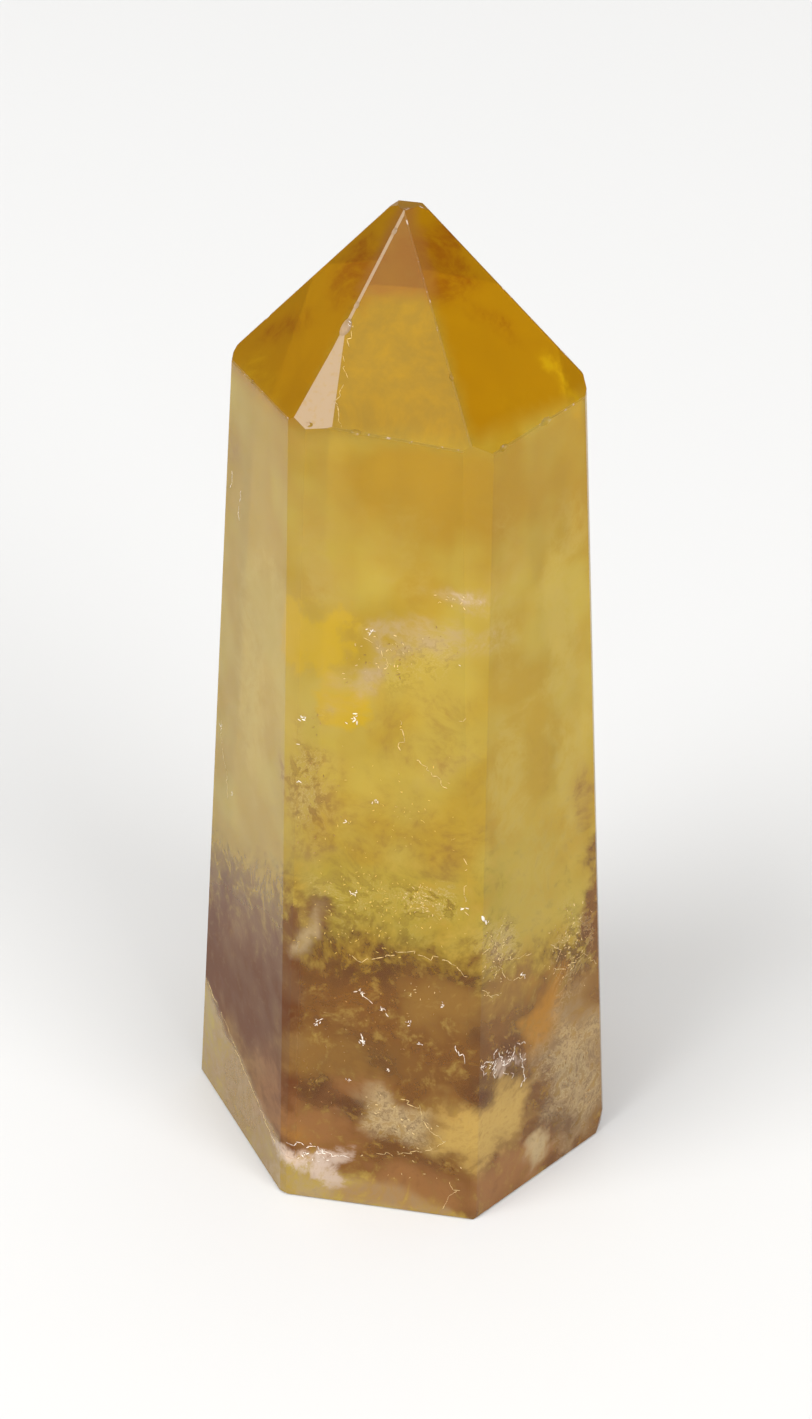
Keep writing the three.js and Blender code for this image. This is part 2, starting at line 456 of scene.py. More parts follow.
# %% [markdown]
# Fluorite grows in zones, each with its own colour, and impurities drift through it as
# clouds. Painting them by hand would end in an image. Here each cloud is a stroke
# instead: a soft box on a named flat, in millimetres and degrees, that can be moved by
# changing a number. A stroke reaches a few millimetres into the stone, so it also
# colours the veils behind the flat. Most kinds are colours. The others are haze, which
# is milky, crackle, which is full of fine lines, and clear and dark, which take brown
# away or add it. Two strokes paint light and not colour: the haze on the left flat is a
# painted sheen, where that flat mirrors the pale floor, and the narrow gold stroke at the
# right end of the right pyramid flat is a painted highlight.

# %% Strokes of colour
# kind: side, across, height, half width, half height, turn, strength
STROKES = {
    # The haze on the left flat is a painted sheen: milk laid where that flat mirrors the pale floor.
    "haze_and_sheen": [("left", 0, 46, 7.5, 24, 0, 0.5)],
    "amber": [("front", 3, 63, 9, 6, 0, 0.45), ("right", 0, 63, 9, 6, 0, 0.4)],
    "light": [
        ("front", -3.9, 57, 1, 3, 6, 0.6), ("front", 1.5, 58, 3, 4, 0, 0.4),
        ("right", -2.5, 38, 2, 6, 5, 0.6), ("right", 4.5, 36, 2, 7, -4, 0.65),
        ("right", -2.4, 54, 2, 7, 0, 0.45), ("left", -1, 44, 3, 9, 0, 0.6),
        ("left", 4, 49, 1.5, 6, 8, 0.6), ("front", 5, 50.5, 5, 2.2, 0, 0.3),
        ("front", 5, 40.2, 0.9, 2.4, -50, 0.7), ("right", 3.5, 50, 2.2, 8, 0, 0.75),
        ("right", 0, 29, 3, 6, 0, 0.5), ("back", -2, 50, 3, 8, 5, 0.6),
        ("back", 3.5, 34, 2.4, 5, -10, 0.5), ("back_right", 1, 46, 2.4, 9, -6, 0.6),
        ("back_left", -1, 44, 2.6, 10, 4, 0.6),
    ],
    "tan": [
        ("front", 4, 43, 4.6, 4.4, 0, 0.3), ("front", 2, 35, 5.6, 4.6, 0, 0.27),
        ("front", -4.6, 37, 2.6, 5, 0, 0.5), ("front", 5.8, 33.5, 2, 2.6, -30, 0.4),
        ("right", 6.2, 33, 1.4, 3, 0, 0.5), ("left", -7, 60, 2, 1.2, 0, 0.4),
        ("front", -3, 14, 4.5, 2.2, 0, 0.6), ("front", 1.5, 14.5, 3.5, 1.6, -20, 0.3),
        ("front", 6.5, 20, 3, 2.5, 0, 0.8), ("right", -3.5, 19.5, 3, 3, 0, 0.8),
        ("right", 5.5, 13, 2.4, 4, 0, 0.8), ("left", 0, 4, 8, 5, 0, 0.72),
        ("back", 2, 41, 4.5, 3.5, 10, 0.4), ("back_right", -3, 34, 2.4, 4, 0, 0.4),
        ("back_left", 2.8, 33, 2.6, 4, 0, 0.4),
    ],
    "glow": [
        ("front", -4.2, 50, 2.8, 3.2, -12, 0.9), ("front", -1.6, 45.2, 1.9, 1.4, 30, 0.85),
        ("back", -3, 38.5, 2, 2.4, 0, 0.7),
    ],
    "pale": [
        ("front", 6.6, 55, 2.2, 0.9, -18, 0.55), ("front", 0.4, 48.9, 3.4, 1.2, 50, 0.62),
        ("front", 4.6, 51.4, 4.4, 1.4, 2, 0.55), ("front", -4.8, 24.8, 0.8, 2, -10, 0.6),
        ("right", -4.6, 24.6, 1.6, 2.2, 0, 0.45), ("right", 4.6, 8, 3.8, 6.2, 15, 0.62),
        ("front", 2.4, 8.9, 3.2, 2, -15, 0.72), ("right", -0.6, 2.8, 1.5, 1.7, 0, 1),
        ("front", -5, 1.4, 3.6, 1.6, 0, 0.5), ("right", 5.4, 2, 2.4, 1.3, -30, 0.4),
        ("back", 3.4, 54, 2.6, 1, -25, 0.6), ("back_right", 2.4, 57, 1.6, 2.4, 30, 0.45),
        ("back_right", -2, 12, 2.6, 3, 20, 0.7),
    ],
    "crackle": [
        ("front", 3, 49.5, 5, 2.6, 10, 0.55), ("front", -4.6, 38, 2, 5.5, 0, 0.7),
        ("front", 0, 28.6, 7, 3, 0, 0.6), ("front", 4.3, 29.2, 2.2, 1.8, 0, 1),
        ("right", -4.5, 24.5, 2.2, 3, 0, 0.9), ("right", 4.6, 20, 2.4, 4.2, 0, 0.9),
        ("right", 4.2, 7.8, 4.2, 6, 20, 1), ("front", 2.8, 8.4, 3.6, 2.4, -15, 0.9),
        ("back", 0, 28, 6.5, 3, 0, 0.7), ("back_right", -1.5, 12, 3.2, 4, 20, 1),
        ("back_left", -1, 11, 4, 4, 0, 0.9),
    ],
    "moss": [
        ("front", 0, 28.8, 7, 3.6, 0, 1), ("right", -2, 29, 4, 4, 0, 0.8),
        ("back", 0, 28.5, 7, 3.6, 0, 0.9),
    ],
    "orange": [
        ("right", 1.2, 15.8, 2.2, 3.2, 0, 0.8), ("front", -5.2, 6.4, 1.4, 0.8, 10, 0.45),
        ("back", -3.2, 11, 2.6, 2.6, 0, 0.7), ("back_right", 4, 6, 2.4, 2, 0, 0.6),
    ],
    "russet": [
        ("front", -0.4, 11.4, 2.8, 1.2, 0, 0.55), ("front", -4, 7.2, 4.2, 1.8, 10, 0.8),
        ("front", 3.6, 2, 5.6, 2.2, 0, 0.8), ("front", 0, 0.8, 4, 1, 0, 0.7),
        ("left", 5, 8, 3, 4, -20, 0.6), ("right", -3, 2, 6, 2.4, 0, 0.85),
    ],
    "clear": [("right", -2.5, 21, 3.4, 3.5, 0, 0.5)],
    "dark": [("right", 7.6, 20, 1.4, 8, 0, 1), ("front", -5.2, 26.6, 2.6, 1.8, -10, 0.72)],
    "cloud": [
        ("front", 7.6, 8.6, 2.4, 2.6, 0, 0.8), ("right", -5, 8.2, 3.8, 3.2, 0, 0.9),
        ("back", 3.6, 9, 3, 2.6, 15, 0.8), ("back_left", -2.4, 10, 3, 3, -10, 0.8),
    ],
    "white": [
        ("front", -4.6, 4.2, 3.2, 1, 10, 0.72), ("front", -2.4, 2.6, 1.8, 0.9, -30, 0.6),
        ("front", 6.8, 55, 1.8, 0.6, -20, 0.4), ("right", -3.2, 12.6, 2.2, 0.9, -10, 0.5),
        ("back", -3, 3.6, 2.6, 0.9, -12, 0.8), ("back_left", 2.6, 16, 2.2, 0.8, 20, 0.6),
    ],
    "gold_and_highlight": [
        # The narrow gold stroke at 5.9 mm on right_top is a painted highlight; the others are colour.
        ("left_top", -2, 67.6, 4, 1.6, 0, 0.3), ("right_top", 5.9, 68.2, 0.5, 2.2, 10, 0.8),
        ("right_top", 1.5, 68, 2.4, 1.6, 0, 0.15), ("back_top", 1, 68.5, 3, 1.6, 0, 0.5),
    ],
    "ember": [
        ("left_top", 0.6, 75.5, 2.2, 3, 0, 0.6), ("left_top", -3.6, 70.4, 3, 0.9, 40, 0.4),
        ("right_top", 0.4, 76.5, 2.4, 2.6, 0, 0.6), ("right_top", 2.5, 72.6, 2.4, 0.9, -40, 0.4),
        ("back_top", -1, 75, 2.4, 2.6, 0, 0.5),
    ],
}
print(sum(len(rows) for rows in STROKES.values()), "strokes of", len(STROKES), "kinds")

# %% [markdown]
# No cloud in a crystal has a straight rim. Two noises from mathutils see to that. The
# first pushes the points about before a stroke is laid on them, which bends it. The
# second is added to its strength and makes the rim lumpy. A shader noise could do the
# same, but the veils inside need the same clouds, and here both can read them.

# %% Soft strokes with lumpy rims
STROKE_REACH = 3.0
BOXINESS = 3
RIM_STIR = ((5, 1.2), (1.5, 0.5))
RIM_LUMPS = 2.4 * MM
RIM_AMOUNT = 1.1


def stirred(points, steps):
    """The points, pushed about by cloud patterns. A step is a size and an amount, in mm."""
    for size, amount in steps:
        pushes = np.array([noise.noise_vector(Vector(p) / (size * MM)) for p in points])
        points = points + amount * MM * pushes
    return points


def octaves(points, size, count):
    """Cloudy noise, mostly between -0.5 and 0.5."""
    return np.array([0.5 * noise.fractal(Vector(p) / size, 1.0, 2.0, count) for p in points])


def blob(points, rim, side, across, height, half_across, half_height, turn):
    """1 in the middle of a soft lumpy box, 0.5 at its rim and 0 well outside it."""
    away = points - np.array(place(side, across, height))
    total = np.zeros(len(points))
    for axis, half in zip(axes_of(side, turn=turn), (half_across, half_height, STROKE_REACH)):
        total += np.abs(away @ np.array(axis) / (half * MM)) ** BOXINESS
    return np.clip(1.5 - total ** (1 / BOXINESS) + RIM_AMOUNT * rim, 0, 1)


corners = np.array([corner.co for corner in stone.data.vertices])
print("the rims are up to", round(RIM_AMOUNT * octaves(corners, RIM_LUMPS, 3).max(), 2), "stronger or weaker")

# %% [markdown]
# Two zones are rules and not strokes, because they run round the whole stone. One is
# the brown foot. Its top is higher in front and on the left flat, and near the base a
# tilted plane cuts through it, below which the stone is pale. The other is the pyramid.
# It is deep amber, but its front flat is olive for the first millimetre, a painted
# reflection of the bright front of the room, and pink at the tip, a painted inner
# reflection.

# %% Rules for the foot and the pyramid
# heights, depths and fades, all in millimetres
BROWN_TOP = 18
BROWN_FADE = 8
PALE_TOP = 5.2
PALE_FADE = 0.8
GRAIN_TOP = 46
GRAIN_FADE = 24
PYRAMID_FOOT = 66.0
AMBER_FADE = 1.5
OLIVE_REFLECTION_DEPTH = 0.9
PINK_REFLECTION_FROM = 75.0
PINK_REFLECTION_DEPTH = 0.6


def below(values, edge, softness):
    return np.clip((edge - values) / softness + 0.5, 0, 1)


def beside(points, side):
    """How far points lie inside one flat, in millimetres."""
    wall = flats[side]
    return (wall["reach"] - points @ np.array(wall["normal"])) / MM


def foot_rules(fields, points, soft):
    """Brown up to a tilted height, pale under a second tilted plane, and grainy low down."""
    x, y, z = soft.T / MM
    on_left = below(beside(points, "left"), 2.0, 2.0)
    top_of_brown = BROWN_TOP + 1.5 * on_left - 0.15 * x + 0.5 * np.maximum(-y, -3)
    tilted_plane = PALE_TOP - 0.257 * x + 0.235 * y
    pale_foot = below(z, tilted_plane, PALE_FADE)
    fields["brown"] = below(z, top_of_brown, BROWN_FADE + 6 * on_left) * (1 - 0.8 * pale_foot)
    fields["haze_and_sheen"] = 0.15 * pale_foot
    fields["pale"] = 0.35 * pale_foot
    off_left = np.clip(beside(points, "left"), 0.2, 1)
    fields["grainy"] = np.clip((GRAIN_TOP - z) / GRAIN_FADE, 0.12, 1) * off_left


def pyramid_rules(fields, points):
    """Amber inside; painted reflections: olive behind the front flat, pink at its top."""
    height = points[:, 2] / MM
    in_pyramid = np.clip((height - PYRAMID_FOOT) / AMBER_FADE, 0, 1)
    off_front = beside(points, "front_top")
    amber = in_pyramid * np.clip(0.5 + off_front, 0, 1)
    fields["amber"] = np.maximum(amber, fields["amber"] * (1 - in_pyramid))
    fields["olive_reflection"] = in_pyramid * below(off_front, OLIVE_REFLECTION_DEPTH, 0.5)
    fields["pink_reflection"] = below(-height, -PINK_REFLECTION_FROM, 0.4) * below(off_front, PINK_REFLECTION_DEPTH, 0.3)


print("brown up to about", BROWN_TOP, "mm, and amber from", PYRAMID_FOOT, "mm")

# %% [markdown]
# The rules and the strokes meet in one function. It gives the strength of every kind of
# paint at any point, on the skin or inside the stone. Where strokes of one kind overlap,
# the stronger one counts. Two plain noises go with them: clouds vary the body colour,
# and streaks are stretched along the stone.

# %% All the paint at a point
CLOUD_SIZE = 7 * MM
STREAK_SIZE = 1.6 * MM
STREAK_SHAPE = (1, 1, 0.12)


def fields_at(points):
    """For each point, how strong each kind of paint is."""
    soft = stirred(points, RIM_STIR)
    fields = {kind: np.zeros(len(points)) for kind in STROKES}
    fields["clouds"] = octaves(points, CLOUD_SIZE, 3)
    fields["streaks"] = octaves(points * STREAK_SHAPE, STREAK_SIZE, 2)
    foot_rules(fields, points, soft)
    rim = octaves(points, RIM_LUMPS, 3)
    for kind, rows in STROKES.items():
        for *where, strength in rows:
            fields[kind] = np.maximum(fields[kind], strength * blob(soft, rim, *where))
    fields["brown"] = np.maximum(fields["brown"] * (1 - fields.pop("clear")), fields.pop("dark"))
    # Mauve on the left flat's brown: partly the stone's colour, partly painted shade that darkens that flat's
    # foot.
    fields["mauve_and_shade"] = fields["brown"] * below(beside(points, "left"), 1.0, 0.5)
    pyramid_rules(fields, points)
    return fields


skin_fields = fields_at(corners)
brown_share = (skin_fields["brown"] > 0.5).mean()
print("brown covers", round(100 * brown_share), "percent of the skin's corners")

# %% [markdown]
# The colours are those of the stone in daylight, though some also paint light: the mauve
# is partly painted shade, the olive and the pink are painted reflections, and one stroke
# of gold is a painted highlight. They are kept in one place, because the skin, the worn
# edges and the veils inside are all made of the same stone.

# %% Colours
HONEY = (0.51, 0.335, 0.026)
PALE_HONEY = (0.57, 0.425, 0.060)
OCHRE = (0.46, 0.27, 0.022)
UMBER = (0.138, 0.047, 0.007)
TAWNY = (0.24, 0.095, 0.012)
TAN = (0.36, 0.18, 0.03)
CLOUD = (0.70, 0.45, 0.11)
MAUVE_AND_SHADE = (0.168, 0.046, 0.003)
OLIVE_REFLECTION = (0.33, 0.25, 0.040)
PINK_REFLECTION = (0.36, 0.14, 0.025)
MILK = (0.76, 0.60, 0.30)
ROSE_WHITE = (0.85, 0.66, 0.52)
FLAKE_ROSE = (0.44, 0.31, 0.19)
COATS = {
    "moss": (0.50, 0.37, 0.040),
    "light": (0.61, 0.455, 0.085),
    "brown": UMBER,
    "tan": TAN,
    "russet": (0.39, 0.17, 0.046),
    "cloud": CLOUD,
    "glow": (0.64, 0.42, 0.012),
    "orange": (0.56, 0.25, 0.014),
    "pale": (0.60, 0.44, 0.22),
    "white": ROSE_WHITE,
    "amber": (0.44, 0.21, 0.001),
    "ember": (0.30, 0.09, 0.001),
    "gold_and_highlight": (0.60, 0.35, 0.003),
}
print(len(COATS), "coats of colour over a body of honey")

# %% [markdown]
# Now the numbers go onto the corners of the skin as attributes, which a shader can
# read. The stirred places go with them: a noise that reads those instead of the true
# places looks swirled. The skin keeps every number apart, so that its shader can
# roughen each rim. The veils lie deep and are only guessed at, so they get one mixed
# colour, which is much cheaper to render.

# %% Paint the corners
SWIRL = ((6, 1.8), (2, 0.5))


def paint(piece, name, values, kind="FLOAT", part="value"):
    """Writes a value for each corner of a piece."""
    piece.data.attributes.new(name, kind, "POINT").data.foreach_set(part, np.ravel(values))


def paint_fields(piece, points, fields):
    for kind, values in fields.items():
        paint(piece, kind, values)
    paint(piece, "swirled", stirred(points, SWIRL), "FLOAT_VECTOR", "vector")


def paint_tint(piece, milk):
    """One mixed colour for every corner."""
    points = np.array([corner.co for corner in piece.data.vertices])
    fields = fields_at(points)
    tint = np.tile(np.array(PALE_HONEY), (len(points), 1))
    for kind, coat_colour in COATS.items():
        share = np.clip(fields[kind] * 2 - 0.5, 0, 1)[:, None]
        tint = tint * (1 - share) + np.array(coat_colour) * share
    tint = tint * (1 - milk) + np.array(MILK) * milk
    paint(piece, "tint", np.c_[tint, np.ones(len(points))], "FLOAT_COLOR", "color")


paint_fields(stone, corners, skin_fields)
print("the skin carries", len(skin_fields), "kinds of paint on", len(corners), "corners")

# %% [markdown]
# Two more helpers read something from the piece: a cloudy noise, and one of the numbers
# painted on its corners.

# %% Grain and paint in a shader
GRAIN_ROUGHNESS = 0.68


def grain(tree, size, detail, where=None):
    """Cloudy noise from -0.5 to 0.5 whose lumps are about size across, in metres."""
    spot = where or add_node(tree, "TexCoord").outputs["Object"]
    inputs = {"Vector": spot, "Scale": 1 / size, "Detail": detail, "Roughness": GRAIN_ROUGHNESS}
    made = feed(add_node(tree, "TexNoise"), inputs)
    return maths(tree, "SUBTRACT", made.outputs["Fac"], 0.5)


def field(tree, kind, output="Fac"):
    return add_node(tree, "Attribute", attribute_name=kind).outputs[output]


# %% [markdown]
# One node group turns the painted numbers into a colour, and three materials share it.
# Each coat of colour is laid over the one before. Its rim is roughened by a fine noise,
# so that a soft stroke ends in small clouds and specks, as a zone in a crystal does.
# Where a coat isn't painted at all, the noise is kept off, or it would bring out specks
# of every colour all over the stone.

# %% Shared colour group: coats
FINE_GRAIN = 1.1 * MM
RAGGEDNESS = 1.5

colours = bpy.data.node_groups.new("fluorite_colours", "ShaderNodeTree")
colours.interface.new_socket("Haze", in_out="INPUT", socket_type="NodeSocketFloat")
colours.interface.new_socket("Color", in_out="OUTPUT", socket_type="NodeSocketColor")
colours.interface.new_socket("Fine Grain", in_out="OUTPUT", socket_type="NodeSocketFloat")
given = colours.nodes.new("NodeGroupInput").outputs
clouds = field(colours, "clouds")
fine = grain(colours, FINE_GRAIN, 4, where=field(colours, "swirled", "Vector"))
rough = maths(colours, "MULTIPLY", fine, RAGGEDNESS)


def coat(under, kind, softness, colour=None):
    """Lays a coat over a colour. Where the field is 0 the grain can't bring it out."""
    amount = field(colours, kind)
    ragged = maths(colours, "MULTIPLY_ADD", rough, band(colours, amount, 0.0, 0.45), amount)
    share = band(colours, ragged, 0.5 - softness, 0.5 + softness)
    return mix(colours, share, under, colour or COATS[kind])


def glaze(under, share, strength, colour):
    """Lays a thin even film of a colour over another, where share is 1."""
    return mix(colours, maths(colours, "MULTIPLY", share, strength), under, colour)


body = mix(colours, band(colours, clouds, -0.15, 0.2), HONEY, PALE_HONEY)
body = glaze(body, band(colours, field(colours, "streaks"), -0.05, 0.4), 0.3, OCHRE)
brown = mix(colours, band(colours, clouds, -0.2, 0.15), UMBER, TAWNY)
body = coat(body, "moss", 0.45)
body = coat(body, "light", 0.45)
body = coat(body, "brown", 0.5, brown)
# Mauve on the left flat: partly colour, partly painted shade.
body = coat(body, "mauve_and_shade", 0.45, MAUVE_AND_SHADE)
body = coat(body, "tan", 0.5)
body = coat(body, "russet", 0.5)
body = coat(body, "cloud", 0.45)
body = coat(body, "glow", 0.25)
body = coat(body, "orange", 0.5)
body = coat(body, "pale", 0.45)
body = coat(body, "white", 0.3)
print("the coats take", len(colours.nodes), "nodes")

# %% [markdown]
# A healed crack is a thin dark or milky line. A line can be had from noise: it is where
# the noise passes through one level, like a contour line on a map. The same noise also
# mottles the stone a little, so that no part of it is as even as plastic. Last come the
# haze, which on the left flat is a painted sheen, and the colours of the pyramid, which
# are clear and lie over everything. Of these, the olive and the pink on its front flat
# are painted reflections, and one narrow stroke of gold is a painted highlight.

# %% Shared colour group: cracks, haze with painted sheen, and pyramid
def lines_at(level, width):
    """1 on the thin lines along which the fine grain passes through one level."""
    away = maths(colours, "ABSOLUTE", maths(colours, "SUBTRACT", fine, level))
    return maths(colours, "SUBTRACT", 1.0, band(colours, away, 0.0, width))


def within(area, pattern):
    return maths(colours, "MULTIPLY", area, pattern)


cracked = band(colours, field(colours, "crackle"), 0.3, 0.9)
body = glaze(body, within(cracked, lines_at(0.07, 0.05)), 0.55, UMBER)
body = glaze(body, within(cracked, lines_at(-0.04, 0.025)), 0.5, MILK)
grainy = field(colours, "grainy")
body = glaze(body, within(grainy, band(colours, fine, -0.02, 0.25)), 0.34, UMBER)
body = glaze(body, within(grainy, band(colours, fine, 0.0, -0.28)), 0.34, CLOUD)
# Milk over the haze; on the left flat this is a painted sheen of the pale floor's reflection.
body = glaze(body, maths(colours, "MAXIMUM", field(colours, "haze_and_sheen"), given["Haze"]), 0.3, MILK)
# Olive on the pyramid's front flat is a painted reflection of the bright room, and pink at its tip a painted
# inner reflection.
olive_reflection = mix(colours, band(colours, fine, -0.25, 0.3), OLIVE_REFLECTION, HONEY)
body = mix(colours, field(colours, "olive_reflection"), body, olive_reflection)
body = mix(colours, field(colours, "amber"), body, COATS["amber"])
body = coat(body, "ember", 0.5)
# Gold is mostly colour; its narrow stroke on the right pyramid flat is a painted highlight.
body = coat(body, "gold_and_highlight", 0.5)
body = glaze(body, field(colours, "pink_reflection"), 0.7, PINK_REFLECTION)
feed(colours.nodes.new("NodeGroupOutput"), {"Color": body, "Fine Grain": fine})
print("the whole group has", len(colours.nodes), "nodes")

# %% [markdown]
# Fluorite bends light less than glass does, which is why its faces look soft and not
# sparkling. Part of the light is scattered in the cloudy skin and part goes through.
# What goes through loses its blue on the way: that is the volume absorption, and it
# makes thick places deeper in colour than thin ones, which a coloured surface can't.

# %% Stone that light goes through
FLUORITE_IOR = 1.434
LIGHT_LEFT = (0.93, 0.78, 0.03)
DENSITY = 60


def fluorite(name, haze_and_sheen, see_through, shine):
    """A new material with the group's outputs, to be finished by the caller."""
    material, tree, shader = new_material(name)
    feed(shader, {"Transmission Weight": see_through, "Specular IOR Level": shine, "IOR": FLUORITE_IOR})
    absorb = feed(add_node(tree, "VolumeAbsorption"), {"Color": LIGHT_LEFT, "Density": DENSITY})
    feed(tree.nodes["Material Output"], {"Volume": absorb.outputs["Volume"]})
    stone_colour = feed(add_node(tree, "Group", node_tree=colours), {"Haze": haze_and_sheen})
    return material, tree, shader, stone_colour.outputs


blue_taken = 1 - math.exp(-DENSITY * MM * (1 - LIGHT_LEFT[2]))
print("each millimetre of stone takes", round(100 * blue_taken, 1), "percent of the blue light")

# %% [markdown]
# The stone has three finishes. The flats are polished, and duller over the brown zone
# of the left flat, which mirrors less of the room. Rubbed edges are the same stone
# without polish, with dots of rosy white. The battered ridge is nearly covered by rosy
# dust. Each finish is the same function with other numbers, and its own small extra.

# %% The three finishes
DUST_SIZE = 0.5 * MM


def polished_fluorite():
    material, tree, shader, stone_colour = fluorite(
        "polished_fluorite", haze_and_sheen=0.0, see_through=0.5, shine=0.15)
    polish = maths(tree, "MULTIPLY_ADD", stone_colour["Fine Grain"], 0.06, 0.04)
    polish = maths(tree, "MULTIPLY_ADD", field(tree, "mauve_and_shade"), 0.4, polish)
    feed(shader, {"Base Color": stone_colour["Color"], "Roughness": polish})
    return material


def rubbed_edge():
    material, tree, shader, stone_colour = fluorite("rubbed_edge", haze_and_sheen=0.1, see_through=0.5, shine=0.25)
    dots = band(tree, grain(tree, DUST_SIZE, 2), 0.12, 0.2)
    feed(shader, {"Base Color": mix(tree, dots, stone_colour["Color"], ROSE_WHITE), "Roughness": 0.3})
    return material


def battered_edge():
    material, tree, shader, stone_colour = fluorite("battered_edge", haze_and_sheen=0.3, see_through=0.25, shine=0.25)
    dust = band(tree, grain(tree, DUST_SIZE, 4), -0.2, 0.0)
    dust = maths(tree, "MULTIPLY_ADD", dust, 0.3, 0.6)
    feed(shader, {"Base Color": mix(tree, dust, stone_colour["Color"], FLAKE_ROSE), "Roughness": 0.5})
    return material


for finish in (polished_fluorite, rubbed_edge, battered_edge):
    stone.data.materials.append(finish())
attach(stone, BODY)
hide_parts(NODE)
print("the stone wears", [material.name for material in stone.data.materials])

# %% [markdown]
# A crystal is never empty. Old fractures that healed long ago run through it as wavy
# sheets of tiny bubbles, which catch the light like a veil of mist. A smoky volume
# could show them too, but it is slow and grainy to render. A sheet is a grid that is
# bent by noise and cut back to stay inside the stone. It is left open on purpose: it
# has no thickness worth modelling.

# %% A wavy sheet
def add_sheet(centre, normal, width, height, cell, wave, wave_size):
    """A wavy sheet. The centre is in metres, everything else in millimetres."""
    turn = Vector(normal).to_track_quat("Z", "Y").to_euler()
    cells = [max(3, round(side / cell)) for side in (width, height)]
    bpy.ops.mesh.primitive_grid_add(
        x_subdivisions=cells[0], y_subdivisions=cells[1], size=MM, location=centre, rotation=turn)
    sheet = bpy.context.object
    sheet.scale = (width, height, 1)
    bpy.ops.object.transform_apply(location=True, rotation=True, scale=True)
    for corner in sheet.data.vertices:
        corner.co += Vector(normal) * noise.noise(corner.co / (wave_size * MM)) * wave * MM
    return sheet


# %% [markdown]
# A sheet has to end inside the stone. A boolean would cut it exactly along the skin,
# and its edge would show through the polish as a bright line. So every corner that is
# outside, or closer to the skin than a small clearance, is deleted instead. What is left
# is joined into one piece, because a shared library wants few pieces and not hundreds.

# %% Trim the sheets and join them
CLEARANCE = 0.12 * MM


def trim_to_stone(piece):
    """Deletes every corner that is outside the stone or in its skin."""
    edit(piece)
    bpy.ops.mesh.select_mode(type="VERT")
    bpy.ops.mesh.select_all(action="DESELECT")
    leave_edit()
    for corner in piece.data.vertices:
        corner.select = under_skin(corner.co) < CLEARANCE
    bpy.ops.object.mode_set(mode="EDIT")
    bpy.ops.mesh.delete(type="VERT")
    leave_edit()


def join(pieces, name):
    select_none()
    for piece in pieces:
        piece.select_set(True)
    bpy.context.view_layer.objects.active = pieces[0]
    bpy.ops.object.join()
    joined = pieces[0]
    joined.name = name
    joined.data.name = name
    bpy.ops.object.shade_smooth()
    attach(joined, BODY)
    print(name, "has", len(joined.data.polygons), "faces")
    return joined


# %% [markdown]
# Nine veils fill the stone. Six stand behind the six flats and lean a little, and three
# lie across the foot like floors. Each fades out towards the skin, so that no rim of a
# sheet draws a line through the clear stone, and noise leaves it standing only in wisps.

# %% Veils
# azimuth, tip, distance from the axis, middle height, width, height, strength
VEILS = [
    (-14, 4, 8.5, 36, 17, 62, 0.45),
    (44, 6, 8, 36, 17, 62, 0.45),
    (-62, 3, 8.5, 36, 17, 62, 0.45),
    (108, 4, 8.5, 36, 17, 62, 0.45),
    (166, 5, 8.5, 36, 17, 62, 0.45),
    (-128, 3, 8.5, 36, 17, 62, 0.45),
    (-20, 70, 0, 22, 30, 30, 0.5),
    (30, 75, 0, 15, 30, 30, 0.6),
    (-45, 80, 0, 5.5, 32, 32, 0.7),
]
VEIL_CELL = 0.8
VEIL_WAVE = 1.6
VEIL_WAVE_SIZE = 9
VEIL_RIM = 2.0
WISP_SIZE = 5 * MM


def make_veils():
    sheets = []
    for azimuth, tip, distance, middle, width, height, strength in VEILS:
        centre = (direction(azimuth, 0) * distance + Vector((0, 0, middle))) * MM
        leaning = direction(azimuth, tip)
        sheet = add_sheet(centre, leaning, width, height, VEIL_CELL, VEIL_WAVE, VEIL_WAVE_SIZE)
        trim_to_stone(sheet)
        rims = [min(1, under_skin(corner.co) / (VEIL_RIM * MM)) for corner in sheet.data.vertices]
        wisps = octaves(np.array([corner.co for corner in sheet.data.vertices]), WISP_SIZE, 3)
        paint(sheet, "strength", strength * np.array(rims) * below(-wisps, 0.0, 0.3))
        sheets.append(sheet)
    return join(sheets, "inner_veils")


def veil_material():
    material, tree, shader = new_material("cloudy_veil")
    shown = field(tree, "strength")
    feed(shader, {"Base Color": field(tree, "tint", "Color"), "Alpha": shown, "Roughness": 0.6})
    return material


veils = make_veils()
paint_tint(veils, milk=0.1)
veils.data.materials.append(veil_material())

# %% [markdown]
# Younger fractures lie close under the polish. They are frosted and nearly white. Each
# one is a small wavy sheet that leans a little out of the flat above it. The sheet is
# half as wide again as the fracture, and a strength painted on it fades it out before
# its rim, so the fracture is as ragged as the noise in its material and isn't cut along
# the grid.

